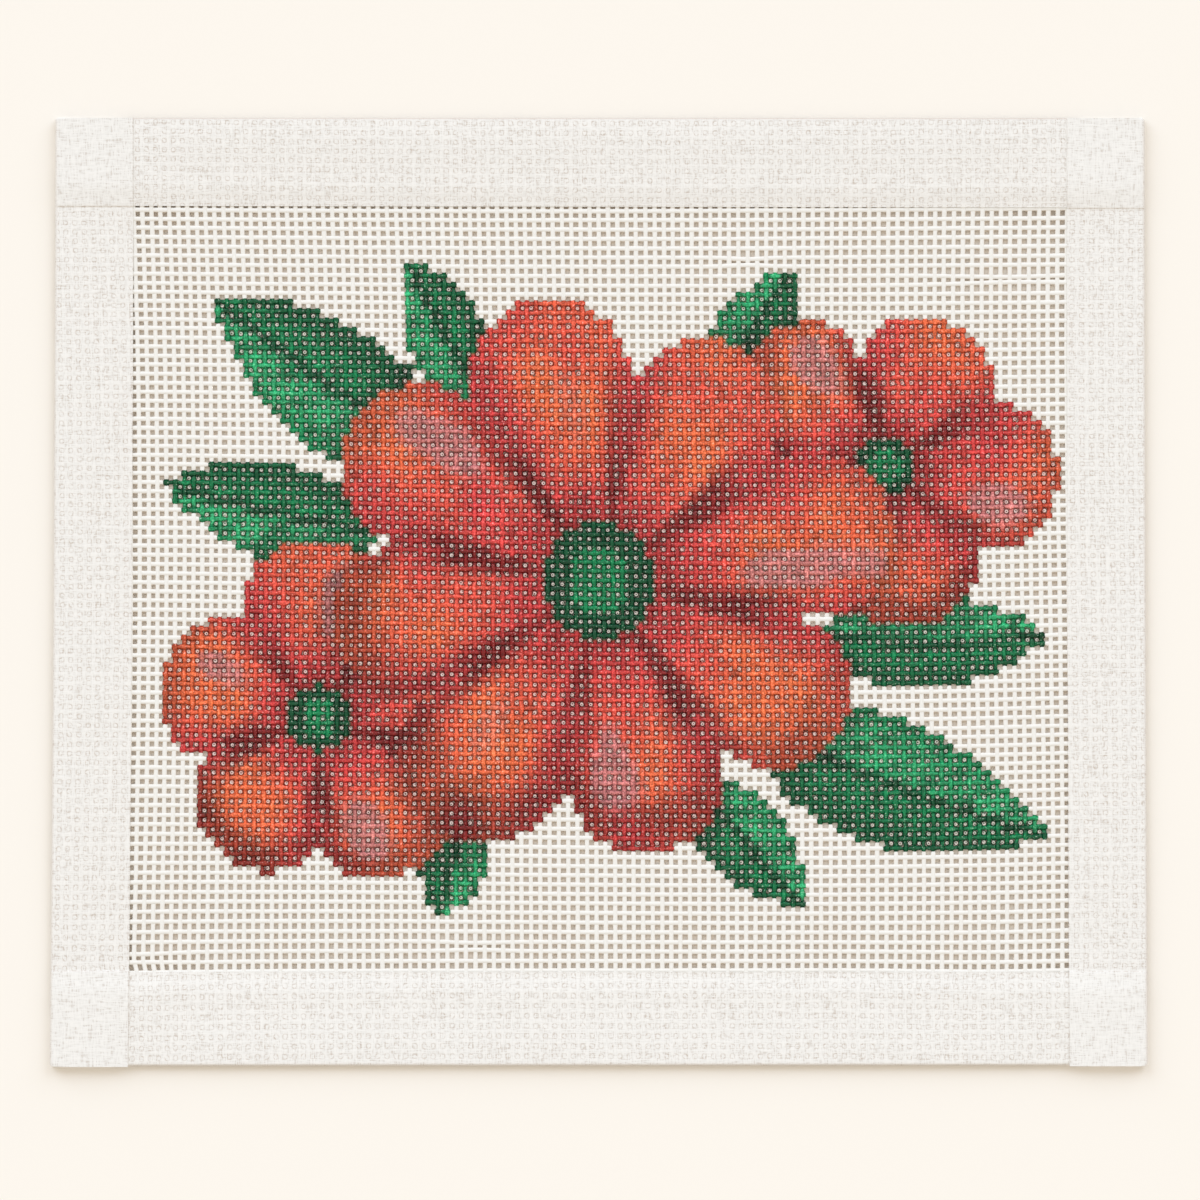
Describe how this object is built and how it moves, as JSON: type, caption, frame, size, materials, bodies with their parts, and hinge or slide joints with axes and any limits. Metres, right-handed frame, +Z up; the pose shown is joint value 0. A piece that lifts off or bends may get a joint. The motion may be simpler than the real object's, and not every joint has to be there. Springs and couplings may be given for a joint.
{
  "type": "needlepoint canvas panel",
  "caption": "Flat rectangle of stiff white open-mesh needlepoint canvas, painted with a flower design, its raw edges bound in folded white cloth tape.",
  "frame": {"origin": "under the middle of the panel's bounding box, on the surface that it lies on", "axes": "+X along the longer side, +Y towards the top of the painted design, +Z up through the painted face"},
  "size_m": [0.2298, 0.199, 0.0062],
  "materials": {
    "canvas": "starched cotton mono canvas, its threads hand-painted in reds and greens",
    "tape": "matt white cloth tape, folded over the edge"
  },
  "bodies": {
    "root": {"canvas": "canvas", "tape_bottom": "tape", "tape_left": "tape", "tape_right": "tape", "tape_top": "tape"}
  },
  "joints": []
}
